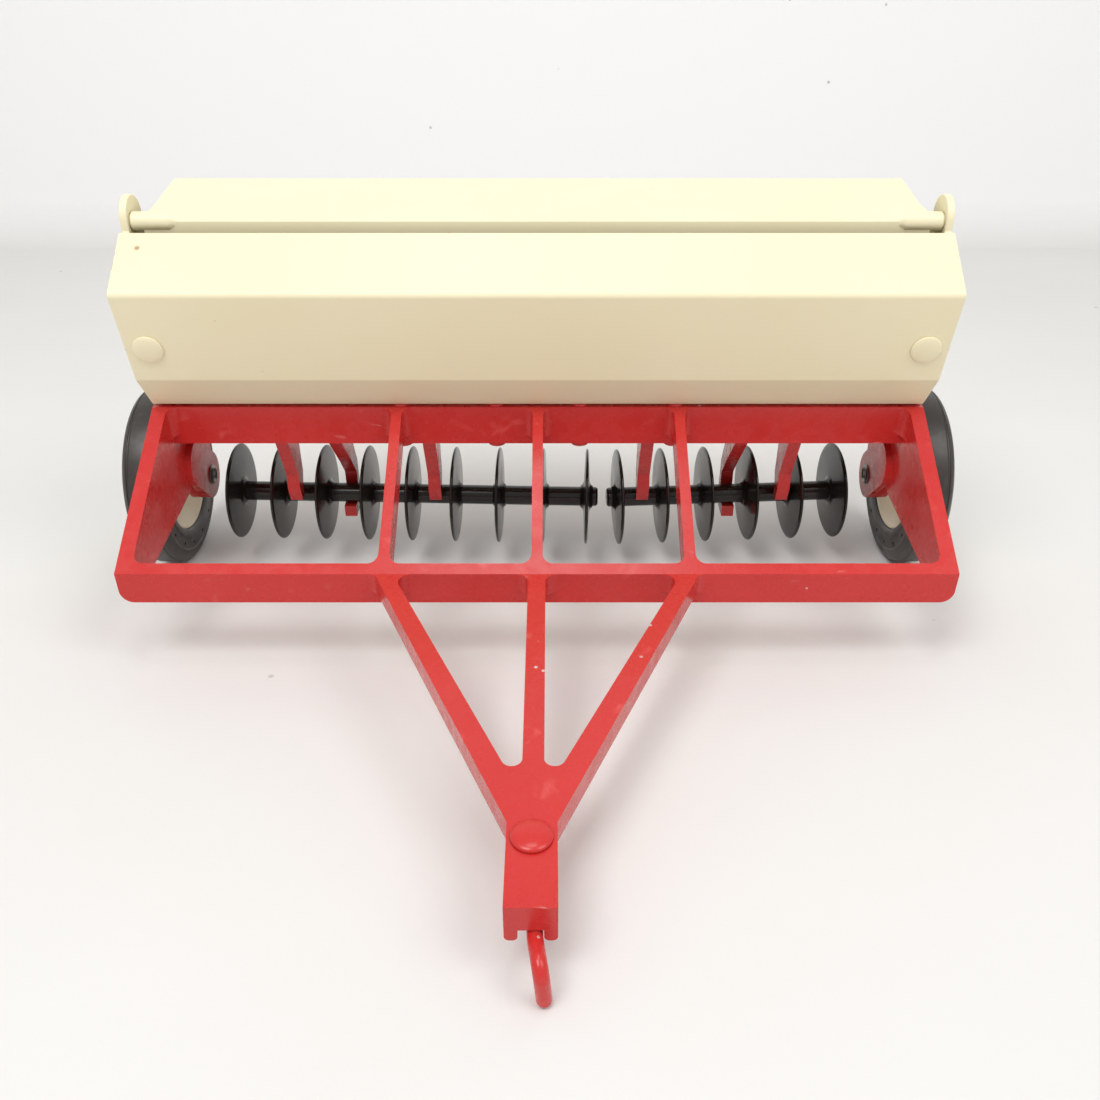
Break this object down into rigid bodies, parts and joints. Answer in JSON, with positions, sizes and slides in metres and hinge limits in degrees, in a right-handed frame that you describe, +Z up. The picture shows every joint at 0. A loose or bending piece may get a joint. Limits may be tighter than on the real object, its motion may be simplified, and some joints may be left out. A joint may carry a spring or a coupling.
{
  "type": "toy seed drill",
  "caption": "Die-cast toy seed drill: red cast frame and A-tongue, cream hopper with hinged lid, two wheels, two disc gangs, swivelling hitch hook.",
  "frame": {"origin": "on the floor, on the centre plane, half way along the overall length", "axes": "+X to the drill's right, +Y to its rear, +Z up; the tongue points to -Y"},
  "size_m": [0.2346, 0.1971, 0.111],
  "materials": {
    "red_paint": "gloss enamel over a casting",
    "cream_paint": "gloss enamel on sheet metal",
    "tyre": "smooth black rubber, dull",
    "rim": "cream moulded plastic",
    "black_plastic": "glossy black moulding",
    "steel": "darkened steel rivet"
  },
  "bodies": {
    "frame": {"frame_casting": "red_paint", "hopper_front": "cream_paint", "hopper_back": "cream_paint", "hopper_floor": "cream_paint", "hopper_end_left": "cream_paint", "hopper_end_right": "cream_paint", "hopper_rivet_left": "cream_paint", "hopper_rivet_right": "cream_paint", "axle_left": "steel", "axle_right": "steel", "hitch_rivet": "red_paint"},
    "lid": {"lid": "cream_paint"},
    "left_wheel": {"tyre_left": "tyre", "rim_left": "rim"},
    "right_wheel": {"tyre_right": "tyre", "rim_right": "rim"},
    "left_gang": {"shaft_left": "black_plastic", "disc_left_1": "black_plastic", "disc_left_2": "black_plastic", "disc_left_3": "black_plastic", "disc_left_4": "black_plastic", "disc_left_5": "black_plastic", "disc_left_6": "black_plastic", "disc_left_7": "black_plastic", "disc_left_8": "black_plastic", "disc_left_9": "black_plastic"},
    "right_gang": {"shaft_right": "black_plastic", "disc_right_1": "black_plastic", "disc_right_2": "black_plastic", "disc_right_3": "black_plastic", "disc_right_4": "black_plastic", "disc_right_5": "black_plastic", "disc_right_6": "black_plastic"},
    "hook": {"hitch_hook": "red_paint"}
  },
  "joints": [
    {"name": "lid_hinge", "type": "hinge", "parent": "frame", "child": "lid", "pos_m": [0, 0.0548, 0.10421], "axis": [1, 0, 0], "range_deg": [0, 100]},
    {"name": "left_wheel_spin", "type": "hinge", "parent": "frame", "child": "left_wheel", "pos_m": [-0.1121, 0.07195, 0.0266], "axis": [1, 0, 0], "continuous": true},
    {"name": "right_wheel_spin", "type": "hinge", "parent": "frame", "child": "right_wheel", "pos_m": [0.1121, 0.07195, 0.0266], "axis": [1, 0, 0], "continuous": true},
    {"name": "left_gang_spin", "type": "hinge", "parent": "frame", "child": "left_gang", "pos_m": [-0.0384, 0.06934, 0.02142], "axis": [0.9994, -0.0347, -0.0034], "continuous": true},
    {"name": "right_gang_spin", "type": "hinge", "parent": "frame", "child": "right_gang", "pos_m": [0.0567, 0.06934, 0.02142], "axis": [0.9979, 0.0642, 0.0062], "continuous": true},
    {"name": "hook_swivel", "type": "hinge", "parent": "frame", "child": "hook", "pos_m": [0, -0.07556, 0.01132], "axis": [0, -0.0963, 0.9954], "range_deg": [-5.6, 0.4]}
  ]
}
